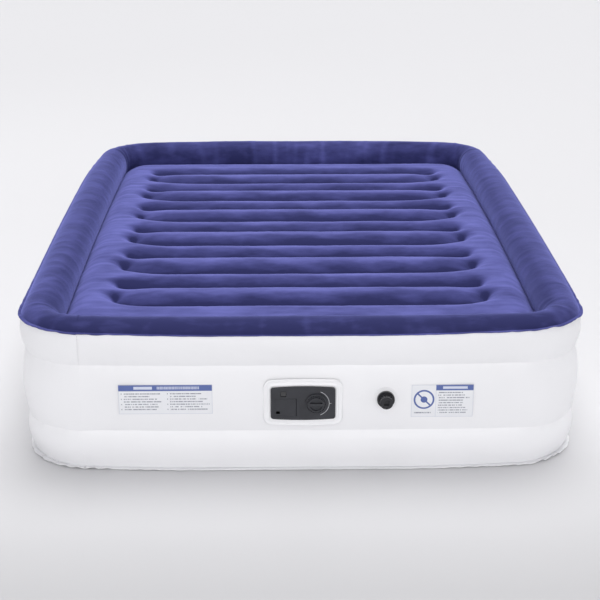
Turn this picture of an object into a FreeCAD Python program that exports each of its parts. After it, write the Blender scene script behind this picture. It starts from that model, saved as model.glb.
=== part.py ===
# Raised flocked air bed with a built-in mains pump and a separate manual valve.
# Millimetres. X runs across the bed, Y along it (the foot with the pump faces -Y), Z up.
# The origin is the centre of the bed's footprint, on the floor.
import FreeCAD, Part
import Sketcher
import math
import os
import re

V = FreeCAD.Vector
doc = FreeCAD.newDocument("air_bed")

sizes = {
    # inflated body
    "bed_width": 1520, "bed_length": 2030, "inner_corner": 9, "film": 2,
    "seam_height": 382, "upper_groove_height": 296, "lower_groove_height": 111,
    "foot_inset": 12, "lower_groove_inset": 12, "upper_groove_inset": 12, "seam_inset": 5,
    "lower_bulge_radius": 140, "middle_bulge_radius": 363, "upper_bulge_radius": 115,
    "seam_thickness": 2, "seam_reach": 5, "seam_lap": 26, "floor_flange": 8,
    # flocked top
    "bed_height": 420, "roll_radius": 57, "roll_inset": 2,
    "quilt_height": 372, "crease_height": 344, "quilt_gap": 3,
    "rib_margin": 106, "rib_width": 138, "end_strip": 185,
    # inner sheets and beams
    "membrane_gap": 1, "vent_radius": 30, "vent_margin": 280,
    "web_side_margin": 140, "web_end_margin": 385,
    # pump panel, measured from its own centre
    "pump_height": 196, "panel_lip": 5, "panel_side_lip": 3, "panel_bow": 3, "panel_thickness": 5,
    "panel_corner": 7, "collar_margin": 20, "collar_side_margin": 17, "collar_corner": 16,
    "collar_thickness": 2.5, "collar_opening_gap": 0.5,
    "housing_width": 158, "housing_rise": 82, "housing_depth": 118, "housing_wall": 2.5,
    "housing_corner": 6, "wall_opening_gap": 2.3,
    "dial_radius": 28, "dial_base": 5, "grip_radius": 20, "grip_rise": 6,
    "running_gap": 0.4, "dial_vent_radius": 1.5, "dial_vent_inset": 4,
    "inlet_ring": 14, "inlet_hole": 3, "shaft_radius": 4, "shaft_fit": 0.05,
    # cord compartment and its lid
    "lid_left": 73, "lid_right": 20, "lid_bottom": 36, "lid_top": 13, "lid_thickness": 3, "lid_gap": 0.5,
    "barrel_radius": 2.6, "hinge_strip": 9, "hinge_pin_radius": 1, "hinge_fit": 0.06, "pin_seat": 3,
    "tray_depth": 70, "tray_wall": 2, "gland_radius": 3.4, "gland_bore": 1.8,
    # switch
    "switch_x": 51, "switch_rise": 26.5, "switch_window": 15, "rocker_width": 13.4, "rocker_rise": 12,
    "rocker_proud": 1.6, "rocker_depth": 10, "rocker_tilt": 8, "trunnion_radius": 1.5,
    "switch_wall": 1.5, "switch_depth": 17,
    # air drive
    "drum_gap": 8, "drum_depth": 27, "drum_wall": 2, "volute_gap": 0.5, "volute_side_gap": 4.5,
    "volute_wall": 2, "volute_depth": 30, "impeller_gap": 4, "impeller_depth": 18,
    "motor_radius": 22, "motor_depth": 44,
    "motor_shaft_radius": 1.6, "armature_radius": 15, "armature_depth": 28,
    "outlet_x": 50, "outlet_radius": 15, "flap_radius": 18, "flap_thickness": 1.5,
    "screw_radius": 1.5, "screw_head": 3, "screw_length": 9, "lug": 9,
    # manual valve, measured from its own centre
    "valve_x": 216, "valve_height": 205, "flange_lip": 9, "flange_thickness": 1.5,
    "base_lip": 7, "base_rise": 9, "neck_wall": 3, "bore_radius": 13, "neck_depth": 28,
    "insert_fit": 0.4, "insert_wall": 2.6, "insert_lip": 7, "insert_rim_rise": 2,
    "cap_lip": 7, "cap_rise": 30, "plug_fit": 0.4, "plug_length": 8, "cap_recess": 14,
    "o_ring_inset": 4, "o_ring_section": 0.8,
    # printed labels
    "wide_label_x": -358, "wide_label_width": 244, "wide_label_bottom": 165, "wide_label_rise": 82,
    "small_label_x": 364, "small_label_width": 162, "small_label_bottom": 151,
    "small_label_rise": 92, "label_thickness": 0.4, "label_gap": 0.3,
}
RIBS = 6
WEBS = 4

# places and sizes that follow from others
CREASE = "(roll_inset + 2 * roll_radius)"
CORNER = "(roll_inset + 2 * roll_radius + inner_corner)"
RIB_LENGTH = "(bed_width - 2 * (%s + rib_margin))" % CREASE
RIB_PITCH = "((bed_length - 2 * (%s + end_strip) - rib_width) / %d)" % (CREASE, RIBS - 1)
WEB_PITCH = "((bed_length - 2 * web_end_margin) / %d)" % (WEBS - 1)
FACE = "bed_length / 2"
PANEL_BACK = "bed_length / 2 + collar_thickness"
PANEL_FRONT = "bed_length / 2 + collar_thickness + panel_thickness"
PANEL_WIDTH = "(housing_width + 2 * panel_lip)"
PANEL_SIDE = "(housing_rise + 2 * panel_side_lip)"
VOLUTE = "(housing_rise / 2 - housing_wall - volute_gap)"
IMPELLER = "(housing_rise / 2 - housing_wall - volute_gap - volute_wall - impeller_gap)"
DRUM = "(housing_rise / 2 - housing_wall - volute_gap - drum_gap)"
DIAL_X = "(housing_width / 2 - housing_wall - volute_side_gap - %s)" % VOLUTE
INSERT_BORE = "(bore_radius - insert_fit - insert_wall)"
CAP_RADIUS = "(%s + cap_lip)" % INSERT_BORE

sheet = doc.addObject("Spreadsheet::Sheet", "size")
for row, (alias, amount) in enumerate(sizes.items(), start=1):
    sheet.set("A%d" % row, alias)
    sheet.set("B%d" % row, str(amount))
    sheet.setAlias("B%d" % row, alias)
doc.recompute()
nodes = []


def formula(text):
    """Turns plain size names into references to the spreadsheet."""
    def reference(word):
        return ("size." if word.group() in sizes else "") + word.group()
    return re.sub(r"[a-z][a-z_]*", reference, text)


def number(text):
    return float(sheet.evalExpression(formula(text)))


def bind(item, **properties):
    for name, text in properties.items():
        item.setExpression(name, formula(text))


def place(item, x="0", y="0", z="0"):
    for axis, text in (("x", x), ("y", y), ("z", z)):
        item.setExpression(".Placement.Base." + axis, formula(text))


def around(centre, radius, degrees):
    """Place on a circle about centre, as two size texts."""
    angle = math.radians(degrees)
    across = "%s + (%s) * %.6f" % (centre[0], radius, math.cos(angle))
    up = "%s + (%s) * %.6f" % (centre[1], radius, math.sin(angle))
    return across, up


def node(item, label):
    item.Label = label
    nodes.append(item)
    return item


# ---------------------------------------------------------------- sketches

def arc_through(start, end, radius, side):
    """Arc of a circle from start to end, with its centre left (+1) or right (-1) of that line."""
    chord = end - start
    half = chord.Length / 2
    across = V(-chord.y, chord.x, 0).normalize()
    centre = (start + end) / 2 + across * (side * math.sqrt(max(radius ** 2 - half ** 2, 0.0)))
    first, last = (start, end) if side > 0 else (end, start)
    angles = [math.atan2(point.y - centre.y, point.x - centre.x) for point in (first, last)]
    return Part.ArcOfCircle(Part.Circle(centre, V(0, 0, 1), radius), angles[0], angles[1])


def dimension(sketch, kind, *arguments, text):
    """Adds a dimension and binds it to the spreadsheet."""
    index = sketch.addConstraint(Sketcher.Constraint(kind, *arguments, number(text)))
    sketch.setExpression("Constraints[%d]" % index, formula(text))


def draw_circle(sketch, x, y, radius):
    circle = sketch.addGeometry(Part.Circle(V(number(x), number(y), 0), V(0, 0, 1), number(radius)), False)
    dimension(sketch, "DistanceX", -1, 1, circle, 3, text=x)
    dimension(sketch, "DistanceY", -1, 1, circle, 3, text=y)
    dimension(sketch, "Radius", circle, text=radius)


def draw_outline(sketch, corners):
    """Closed outline. Each corner is (x, y) or, when an arc leaves it, (x, y, radius, side)."""
    points = [V(number(corner[0]), number(corner[1]), 0) for corner in corners]
    ends = []
    for index, corner in enumerate(corners):
        start = points[index]
        end = points[(index + 1) % len(points)]
        if len(corner) == 2:
            edge = sketch.addGeometry(Part.LineSegment(start, end), False)
            ends.append((edge, 1, 2))
        else:
            edge = sketch.addGeometry(arc_through(start, end, number(corner[2]), corner[3]), False)
            ends.append((edge, 1, 2) if corner[3] > 0 else (edge, 2, 1))
    for index, (edge, first, last) in enumerate(ends):
        following = ends[(index + 1) % len(ends)]
        sketch.addConstraint(Sketcher.Constraint("Coincident", edge, last, following[0], following[1]))
        dimension(sketch, "DistanceX", -1, 1, edge, first, text=corners[index][0])
        dimension(sketch, "DistanceY", -1, 1, edge, first, text=corners[index][1])
        if len(corners[index]) == 4:
            dimension(sketch, "Radius", edge, text=corners[index][2])


def rectangle(x_low, x_high, y_low, y_high):
    return [(x_low, y_low), (x_high, y_low), (x_high, y_high), (x_low, y_high)]


def rounded_rectangle(x_low, x_high, y_low, y_high, radius):
    left, right = "%s + (%s)" % (x_low, radius), "%s - (%s)" % (x_high, radius)
    bottom, top = "%s + (%s)" % (y_low, radius), "%s - (%s)" % (y_high, radius)
    return [
        (left, y_low), (right, y_low, radius, 1), (x_high, bottom), (x_high, top, radius, 1),
        (right, y_high), (left, y_high, radius, 1), (x_low, top), (x_low, bottom, radius, 1),
    ]


def centred(width, depth, radius, y="0"):
    near, far = "%s - (%s) / 2" % (y, depth), "%s + (%s) / 2" % (y, depth)
    return rounded_rectangle("-(%s) / 2" % width, "(%s) / 2" % width, near, far, radius)


def slot(length, width, y):
    """Outline with two straight sides and half-round ends."""
    straight = "(%s - (%s)) / 2" % (length, width)
    half = "(%s) / 2" % width
    return [
        ("-" + straight, "%s - %s" % (y, half)), (straight, "%s - %s" % (y, half), half, 1),
        ("(%s) / 2" % length, y, half, 1), (straight, "%s + %s" % (y, half)),
        ("-" + straight, "%s + %s" % (y, half), half, 1), ("-(%s) / 2" % length, y, half, 1),
    ]


def fill_sketch(sketch, loops):
    for loop in loops:
        if isinstance(loop, tuple):
            draw_circle(sketch, *loop)
        else:
            draw_outline(sketch, loop)


def prism(name, plane, start, thickness, *loops):
    """Body padded from a sketch on an origin plane: XY pads up, XZ towards the foot, YZ to the right."""
    body = doc.addObject("PartDesign::Body", name)
    sketch = body.newObject("Sketcher::SketchObject", name + "_sketch")
    origin_plane = [item for item in body.Origin.OriginFeatures if item.Role == plane + "_Plane"][0]
    sketch.AttachmentSupport = [(origin_plane, "")]
    sketch.MapMode = "FlatFace"
    sketch.setExpression(".AttachmentOffset.Base.z", formula(start))
    fill_sketch(sketch, loops)
    pad = body.newObject("PartDesign::Pad", name + "_pad")
    pad.Profile = sketch
    bind(pad, Length=thickness)
    body.Tip = pad
    return body


# ---------------------------------------------------------------- solids

def disc(name, radius, start, thickness, x="0", z="0"):
    """Cylinder on the Y axis, growing towards the foot from the distance start."""
    item = doc.addObject("Part::Cylinder", name)
    item.Placement = FreeCAD.Placement(V(), FreeCAD.Rotation(V(1, 0, 0), 90))
    bind(item, Radius=radius, Height=thickness)
    place(item, x, "-(%s)" % start, z)
    return item


def block(name, x_low, x_high, start, thickness, z_low, z_high):
    """Box growing towards the foot from the distance start."""
    item = doc.addObject("Part::Box", name)
    bind(item, Length="%s - (%s)" % (x_high, x_low), Width=thickness, Height="%s - (%s)" % (z_high, z_low))
    place(item, x_low, "-(%s) - (%s)" % (start, thickness), z_low)
    return item


def upright(name, radius, x, outward, z_low, z_high):
    """Vertical cylinder at the distance outward."""
    item = doc.addObject("Part::Cylinder", name)
    bind(item, Radius=radius, Height="%s - (%s)" % (z_high, z_low))
    place(item, x, "-(%s)" % outward, z_low)
    return item


def crossbar(name, radius, x_low, x_high, outward, z):
    """Cylinder on the X axis at the distance outward."""
    item = doc.addObject("Part::Cylinder", name)
    item.Placement = FreeCAD.Placement(V(), FreeCAD.Rotation(V(0, 1, 0), 90))
    bind(item, Radius=radius, Height="%s - (%s)" % (x_high, x_low))
    place(item, x_low, "-(%s)" % outward, z)
    return item


def fuse(name, *items):
    item = doc.addObject("Part::MultiFuse", name)
    item.Shapes = list(items)
    item.Refine = True
    return item


def cut(name, base, *tools):
    item = doc.addObject("Part::Cut", name)
    item.Base = base
    item.Tool = tools[0] if len(tools) == 1 else fuse(name + "_tools", *tools)
    item.Refine = True
    return item


def mirrored(name, source, normal):
    item = doc.addObject("Part::Mirroring", name)
    item.Source = source
    item.Normal = normal
    return item


def edge_profile(name, loop, facing):
    """Upright profile at the foot-left corner's centre; its x runs outward to the foot or to the left."""
    sketch = doc.addObject("Sketcher::SketchObject", name)
    outward = {"foot": V(0, -1, 0), "left": V(-1, 0, 0)}[facing]
    turn = FreeCAD.Rotation(outward, V(0, 0, 1), outward.cross(V(0, 0, 1)))
    sketch.Placement = FreeCAD.Placement(V(), turn)
    place(sketch, "-(bed_width / 2 - " + CORNER + ")", "-(bed_length / 2 - " + CORNER + ")")
    fill_sketch(sketch, [loop])
    return sketch


def straight_run(name, profile, direction, length):
    item = doc.addObject("Part::Extrusion", name)
    item.Base = profile
    item.DirMode = "Custom"
    item.Dir = direction
    item.Solid = True
    bind(item, LengthFwd=length)
    return item


def edge_runs(name, loop):
    """The foot side, the head side, and the left and right sides with their rounded corners."""
    foot_profile = edge_profile(name + "_foot_profile", loop, "foot")
    left_profile = edge_profile(name + "_left_profile", loop, "left")
    foot = straight_run(name + "_foot_run", foot_profile, V(1, 0, 0), "bed_width - 2 * " + CORNER)
    head = mirrored(name + "_head_run", foot, V(0, 1, 0))
    corner = doc.addObject("Part::Revolution", name + "_corner")
    corner.Source = foot_profile
    corner.Axis = V(0, 0, -1)
    corner.Angle = 90
    corner.Solid = True
    corner.setExpression(".Base.x", formula("-(bed_width / 2 - " + CORNER + ")"))
    corner.setExpression(".Base.y", formula("-(bed_length / 2 - " + CORNER + ")"))
    far_corner = mirrored(name + "_far_corner", corner, V(0, 1, 0))
    side = straight_run(name + "_side_run", left_profile, V(0, 1, 0), "bed_length - 2 * " + CORNER)
    left = fuse(name + "_left_run", corner, side, far_corner)
    right = mirrored(name + "_right_run", left, V(1, 0, 0))
    return foot, head, left, right


# ---------------------------------------------------------------- inflated body

def wall_outline():
    """Three bulging bands between the floor, two grooves and the seam, as one film."""
    stations = [
        ("foot_inset", "film", "lower_bulge_radius"),
        ("lower_groove_inset", "lower_groove_height", "middle_bulge_radius"),
        ("upper_groove_inset", "upper_groove_height", "upper_bulge_radius"),
        ("seam_inset", "seam_height - seam_thickness / 2", None),
    ]
    outer = [(CORNER + " - %s" % inset, height, radius, 1) for inset, height, radius in stations[:3]]
    outer.append((CORNER + " - seam_inset", stations[3][1]))
    inner = [(CORNER + " - seam_inset - film", stations[3][1], "upper_bulge_radius", -1)]
    inner.append((CORNER + " - upper_groove_inset - film", stations[2][1], "middle_bulge_radius", -1))
    inner.append((CORNER + " - lower_groove_inset - film", stations[1][1], "lower_bulge_radius", -1))
    inner.append((CORNER + " - foot_inset - film", "film"))
    return outer + inner


def side_walls():
    foot, head, left, right = edge_runs("wall", wall_outline())
    pump_opening = block(
        "pump_opening", "-housing_width / 2 - wall_opening_gap", "housing_width / 2 + wall_opening_gap",
        FACE + " - 60", "120",
        "pump_height - housing_rise / 2 - wall_opening_gap",
        "pump_height + housing_rise / 2 + wall_opening_gap")
    valve_opening = disc(
        "valve_opening", "bore_radius + neck_wall + 1", FACE + " - 60", "120", "valve_x", "valve_height")
    node(cut("foot_wall_cut", foot, pump_opening, valve_opening), "foot_wall")
    node(head, "head_wall")
    node(left, "left_wall")
    node(right, "right_wall")


def border_roll():
    """Half-round flocked roll: up from the seam, over the crest and down to the inner crease."""
    axis = CORNER + " - roll_inset - roll_radius"
    level = "bed_height - roll_radius"
    seam_top = "seam_height + seam_thickness / 2"
    inner_radius = "roll_radius - film"

    def reach(radius, height):
        return "sqrt((%s)^2 - (%s - (%s))^2)" % (radius, height, level)

    outline = [
        ("%s + %s" % (axis, reach("roll_radius", seam_top)), seam_top, "roll_radius", 1),
        (axis, "bed_height", "roll_radius", 1),
        ("%s - %s" % (axis, reach("roll_radius", "crease_height")), "crease_height"),
        ("%s - %s" % (axis, reach(inner_radius, "crease_height")), "crease_height", inner_radius, -1),
        (axis, "bed_height - film", inner_radius, -1),
        ("%s + %s" % (axis, reach(inner_radius, seam_top)), seam_top),
    ]
    for run, label in zip(edge_runs("roll", outline), ("roll_foot", "roll_head", "roll_left", "roll_right")):
        node(run, label)


def quilt_panel():
    """Sleeping surface: one film rising to a crest between each pair of weld lines across the bed."""
    half = "(bed_length / 2 - %s - quilt_gap)" % CREASE
    across = "(bed_width - 2 * %s - 2 * quilt_gap)" % CREASE
    welds = ["-" + half]
    for rib in range(RIBS):
        middle = "%s * %g" % (RIB_PITCH, rib - (RIBS - 1) / 2)
        welds.append(middle + " - rib_width / 2")
        welds.append(middle + " + rib_width / 2")
    welds.append(half)
    rise = "(quilt_height - crease_height)"
    outline = []
    for near, far in zip(welds[:-1], welds[1:]):
        radius = "((%s - (%s))^2 / 4 + %s^2) / (2 * %s)" % (far, near, rise, rise)
        outline.append((near, "crease_height", radius, -1))
    outline.append((welds[-1], "crease_height"))
    for near, far in reversed(list(zip(welds[:-1], welds[1:]))):
        radius = "((%s - (%s))^2 / 4 + %s^2) / (2 * %s)" % (far, near, rise, rise)
        outline.append((far, "crease_height - film", radius, 1))
    outline.append((welds[0], "crease_height - film"))
    node(prism("quilt", "YZ", "-%s / 2" % across, across, outline), "quilt_panel")


def seams_and_floor():
    seam = prism(
        "seam_ring", "XY", "seam_height - seam_thickness / 2", "seam_thickness",
        centred("bed_width + 2 * seam_reach", "bed_length + 2 * seam_reach", CORNER + " + seam_reach"),
        centred("bed_width - 2 * seam_lap", "bed_length - 2 * seam_lap", CORNER + " - seam_lap"))
    node(seam, "top_seam")
    edge = "2 * (floor_flange - foot_inset)"
    floor = prism(
        "floor_sheet", "XY", "0", "film",
        centred("bed_width + " + edge, "bed_length + " + edge, CORNER + " + floor_flange - foot_inset"))
    node(floor, "bottom_sheet")


def membranes():
    """Two inner sheets held level with the grooves, with vents so that all chambers share one pressure."""
    vents = []
    for across in (-1, 0, 1):
        for along in (-1, 1):
            vent_x = "(bed_width / 2 - vent_margin) * %d" % across
            vent_y = "%s * %g" % (RIB_PITCH, along * (RIBS - 1) / 2)
            vents.append((vent_x, vent_y, "vent_radius"))
    for label, level, groove in (
            ("upper_membrane", "upper_groove_height", "upper_groove_inset"),
            ("lower_membrane", "lower_groove_height", "lower_groove_inset")):
        inset = "(%s + film + membrane_gap)" % groove
        outline = centred("bed_width - 2 * " + inset, "bed_length - 2 * " + inset, CORNER + " - " + inset)
        node(prism(label + "_plate", "XY", level + " - film / 2", "film", outline, *vents), label)


def beams():
    """Weld strips: looped ones under the quilt, straight ones across the two chambers below."""
    low = "upper_groove_height + film / 2"
    rise = "crease_height - film - (%s)" % low
    for rib in range(RIBS):
        middle = "%s * %g" % (RIB_PITCH, rib - (RIBS - 1) / 2)
        outer = slot(RIB_LENGTH, "rib_width", middle)
        inner = slot(RIB_LENGTH + " - 2 * film", "rib_width - 2 * film", middle)
        loop = prism("rib_loop_%d" % (rib + 1), "XY", low, rise, outer, inner)
        node(loop, "rib_beam_%d" % (rib + 1))
    inset = "(%s - film)" % CREASE
    border = prism(
        "border_loop", "XY", low, "crease_height - (%s)" % low,
        centred("bed_width - 2 * " + inset, "bed_length - 2 * " + inset, CORNER + " - " + inset),
        centred("bed_width - 2 * %s - 2 * film" % inset, "bed_length - 2 * %s - 2 * film" % inset,
                CORNER + " - %s - film" % inset))
    node(border, "border_beam")
    for level, start, top in (
            ("middle", "lower_groove_height + film / 2", "upper_groove_height - film / 2"),
            ("floor", "film", "lower_groove_height - film / 2")):
        for web in range(WEBS):
            away = "%s * %g" % (WEB_PITCH, web - (WEBS - 1) / 2)
            strip = block(
                "%s_strip_%d" % (level, web + 1), "-bed_width / 2 + web_side_margin",
                "bed_width / 2 - web_side_margin", away + " - film / 2", "film", start, top)
            node(strip, "%s_web_%d" % (level, web + 1))


# ---------------------------------------------------------------- pump front

def bowed_outline(width, side, bow, corner):
    """Rounded rectangle about the pump's centre whose top and bottom edges bow outward."""
    half = "(%s) / 2" % width
    rise = "(%s) / 2" % side
    run = "((%s) / 2 - (%s))" % (width, corner)
    bow_radius = "(%s^2 + (%s)^2) / (2 * (%s))" % (run, bow, bow)
    low = "pump_height - %s" % rise
    high = "pump_height + %s" % rise
    return [
        ("-" + run, low, bow_radius, 1), (run, low, corner, 1),
        (half, "%s + %s" % (low, corner)), (half, "%s - %s" % (high, corner), corner, 1),
        (run, high, bow_radius, 1), ("-" + run, high, corner, 1),
        ("-" + half, "%s - %s" % (high, corner)), ("-" + half, "%s + %s" % (low, corner), corner, 1),
    ]


def pump_box(width, rise, corner):
    return rounded_rectangle(
        "-(%s) / 2" % width, "(%s) / 2" % width,
        "pump_height - (%s) / 2" % rise, "pump_height + (%s) / 2" % rise, corner)


def pump_collar():
    opening = (
        "housing_width + 2 * wall_opening_gap", "housing_rise + 2 * wall_opening_gap", "housing_corner + 2")
    outline = pump_box(
        PANEL_WIDTH + " + 2 * collar_margin", PANEL_SIDE + " + 2 * collar_side_margin", "collar_corner")
    node(prism("collar_plate", "XZ", FACE, "collar_thickness", outline, pump_box(*opening)), "pump_collar")
    gap = " - 2 * collar_opening_gap"
    gasket = prism(
        "gasket_ring", "XZ", FACE, "collar_thickness",
        pump_box(opening[0] + gap, opening[1] + gap, "housing_corner + 2 - collar_opening_gap"),
        pump_box("housing_width + 1", "housing_rise + 1", "housing_corner"))
    node(gasket, "pump_gasket")


SCREW_PLACES = [
    ("housing_width / 2 - housing_wall - lug / 2", "housing_rise / 2 - housing_wall - lug / 2"),
    ("housing_width / 2 - housing_wall - lug / 2", "-(housing_rise / 2 - housing_wall - lug / 2)"),
    ("-(housing_width / 2 - housing_wall - lug / 2)", "housing_rise / 2 - housing_wall - lug / 2"),
    ("-(lid_right - barrel_radius - lid_gap - tray_wall - lug / 2)",
     "-(housing_rise / 2 - housing_wall - lug / 2)"),
]


def pump_faceplate():
    lid_window = rectangle(
        "-lid_left - lid_gap", "-lid_right + barrel_radius + lid_gap",
        "pump_height - lid_bottom - lid_gap", "pump_height + lid_top + lid_gap")
    switch_window = rectangle(
        "-switch_x - switch_window / 2", "-switch_x + switch_window / 2",
        "pump_height + switch_rise - switch_window / 2", "pump_height + switch_rise + switch_window / 2")
    bore = (DIAL_X, "pump_height", "shaft_radius + shaft_fit")
    inlets = []
    for step in range(12):
        inlets.append(around((DIAL_X, "pump_height"), "inlet_ring", 30 * step) + ("inlet_hole",))
    plate = prism(
        "panel_plate", "XZ", PANEL_BACK, "panel_thickness",
        bowed_outline(PANEL_WIDTH, PANEL_SIDE, "panel_bow", "panel_corner"),
        lid_window, switch_window, bore, *inlets)
    pin_hole = upright(
        "pin_hole", "hinge_pin_radius + 0.02", "-lid_right", PANEL_FRONT + " - barrel_radius",
        "pump_height - lid_bottom - lid_gap - pin_seat", "pump_height + lid_top + lid_gap + pin_seat")
    holes = [pin_hole]
    for place_x, place_z in SCREW_PLACES:
        hole = disc("panel_screw_hole", "screw_radius + 0.1", PANEL_BACK + " - 1", "4",
                    place_x, "pump_height + (%s)" % place_z)
        holes.append(hole)
    strip_edge = "-lid_right + barrel_radius + lid_gap + hinge_strip"
    hinge_line = block(
        "hinge_line", strip_edge, strip_edge + " + 1.2", PANEL_FRONT + " - 0.8", "2",
        "pump_height - %s / 2 + 5" % PANEL_SIDE, "pump_height + %s / 2 - 5" % PANEL_SIDE)
    node(cut("panel_cut", plate, hinge_line, *holes), "pump_faceplate")


def pump_housing():
    depth = "housing_depth"
    outer = prism(
        "housing_outer", "XZ", PANEL_BACK + " - " + depth, depth,
        pump_box("housing_width", "housing_rise", "housing_corner"))
    inner = prism(
        "housing_inner", "XZ", PANEL_BACK + " - " + depth + " + housing_wall", depth,
        pump_box("housing_width - 2 * housing_wall", "housing_rise - 2 * housing_wall",
                 "housing_corner - housing_wall"))
    rear = "(%s - housing_depth)" % PANEL_BACK
    outlet_holes = []
    for row in (-2, -1, 0, 1, 2):
        reach = "%.4f * outlet_radius" % math.sqrt(1 - (row / 3) ** 2)
        level = "pump_height + %g * outlet_radius / 3" % row
        slit = block(
            "outlet_slit", "-outlet_x - " + reach, "-outlet_x + " + reach, rear + " - 1", "housing_wall + 2",
            level + " - outlet_radius / 9", level + " + outlet_radius / 9")
        outlet_holes.append(slit)
    shell = cut("housing_shell", outer, inner, *outlet_holes)
    lugs = []
    for place_x, place_z in SCREW_PLACES:
        lug = block(
            "screw_lug", "%s - lug / 2" % place_x, "%s + lug / 2" % place_x, PANEL_BACK + " - 6", "6",
            "pump_height + (%s) - lug / 2" % place_z, "pump_height + (%s) + lug / 2" % place_z)
        hole = disc("lug_hole", "screw_radius + 0.2", PANEL_BACK + " - 7", "8",
                    place_x, "pump_height + (%s)" % place_z)
        lugs.append(cut("drilled_lug", lug, hole))
    ears = []
    for side in (-1, 1):
        near = "-outlet_x + %d * 12" % side
        ear = block(
            "flap_ear", near + " - 1.5", near + " + 1.5", rear + " - 4", "4",
            "pump_height + flap_radius - 1", "pump_height + flap_radius + 6")
        hole = crossbar("ear_hole", "0.85", near + " - 3", near + " + 3", rear + " - 2.2",
                        "pump_height + flap_radius + 2.5")
        ears.append(cut("drilled_ear", ear, hole))
    node(fuse("housing_body", shell, *lugs, *ears), "pump_housing")


def housing_screws():
    screws = []
    for place_x, place_z in SCREW_PLACES:
        level = "pump_height + (%s)" % place_z
        head = disc("screw_cap", "screw_head", PANEL_BACK + " - 8", "2", place_x, level)
        shank = disc("screw_shank", "screw_radius", PANEL_BACK + " - 6", "screw_length", place_x, level)
        screws.append(fuse("screw", head, shank))
    group = doc.addObject("Part::Compound", "screw_group")
    group.Links = screws
    node(group, "housing_screws")


# ---------------------------------------------------------------- cord compartment

def cord_compartment():
    left, right = "-lid_left - lid_gap", "-lid_right - barrel_radius"
    low, high = "pump_height - lid_bottom - lid_gap", "pump_height + lid_top + lid_gap"
    start = PANEL_BACK + " - tray_depth"
    outer = block("tray_outer", left, right, start, "tray_depth", low, high)
    inner = block(
        "tray_inner", left + " + tray_wall", right + " - tray_wall", start + " + tray_wall", "tray_depth",
        low + " + tray_wall", high + " - tray_wall")
    middle_x = "-(lid_left + lid_right) / 2"
    middle_z = "pump_height + (lid_top - lid_bottom) / 2"
    hole = disc("gland_hole", "gland_radius + 0.1", start + " - 1", "tray_wall + 2", middle_x, middle_z)
    node(cut("tray_cut", outer, inner, hole), "cord_tray")
    flange = disc("gland_flange", "gland_radius + 3", start + " + tray_wall", "2", middle_x, middle_z)
    neck = disc("gland_neck", "gland_radius", start + " - 4", "tray_wall + 4", middle_x, middle_z)
    bore = disc("gland_hollow", "gland_bore", start + " - 5", "tray_wall + 8", middle_x, middle_z)
    node(cut("gland_cut", fuse("gland_body", flange, neck), bore), "cord_gland")


def cord_lid():
    axis_out = PANEL_FRONT + " - barrel_radius"
    low, high = "pump_height - lid_bottom", "pump_height + lid_top"
    back = PANEL_FRONT + " - lid_thickness"
    plate = block("lid_plate", "-lid_left", "-lid_right", back, "lid_thickness", low, high)
    barrel = upright("lid_barrel", "barrel_radius", "-lid_right", axis_out, low, high)
    bore = upright(
        "lid_bore", "hinge_pin_radius + hinge_fit", "-lid_right", axis_out, low + " - 1", high + " + 1")
    finger_slot = block(
        "finger_slot", "-lid_left + 2.5", "-lid_left + 12.5", back + " - 1", "lid_thickness + 2",
        low + " + 6.5", low + " + 14")
    node(cut("lid_cut", fuse("lid_body", plate, barrel), bore, finger_slot), "cord_lid")
    pin = upright(
        "hinge_pin", "hinge_pin_radius", "-lid_right", axis_out,
        low + " - lid_gap - pin_seat + 0.1", high + " + lid_gap + pin_seat - 0.1")
    node(pin, "lid_hinge_pin")


# ---------------------------------------------------------------- switch

def switch():
    level = "pump_height + switch_rise"
    outer_half = "(switch_window / 2 + switch_wall)"
    start = PANEL_BACK + " - switch_depth"
    outer = block(
        "switch_outer", "-switch_x - " + outer_half, "-switch_x + " + outer_half, start, "switch_depth",
        level + " - " + outer_half, level + " + " + outer_half)
    cavity = block("switch_cavity", "-switch_x - switch_window / 2", "-switch_x + switch_window / 2",
                   start + " + switch_wall", "switch_depth",
                   level + " - switch_window / 2", level + " + switch_window / 2")
    pivot_out = PANEL_BACK + " - 4"
    pivot_hole = crossbar("pivot_hole", "trunnion_radius + hinge_fit", "-switch_x - %s - 1" % outer_half,
                          "-switch_x + %s + 1" % outer_half, pivot_out, level)
    node(cut("switch_cut", outer, cavity, pivot_hole), "switch_body")
    # the rocker is drawn about its own pivot, then tilted to the off side
    key = doc.addObject("Part::Box", "rocker_key")
    front = "(%s + rocker_proud - (%s))" % (PANEL_FRONT, pivot_out)
    bind(key, Length="rocker_width", Width=front + " + rocker_depth - 6", Height="rocker_rise")
    place(key, "-rocker_width / 2", "-" + front, "-rocker_rise / 2")
    trunnion = crossbar(
        "rocker_trunnion", "trunnion_radius", "-%s + 0.3" % outer_half, "%s - 0.3" % outer_half, "0", "0")
    rocker = fuse("rocker_body", key, trunnion)
    rocker.Placement = FreeCAD.Placement(V(), FreeCAD.Rotation(V(1, 0, 0), -number("rocker_tilt")))
    place(rocker, "-switch_x", "-(%s)" % pivot_out, level)
    node(rocker, "switch_rocker")


# ---------------------------------------------------------------- dial and air drive

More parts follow.
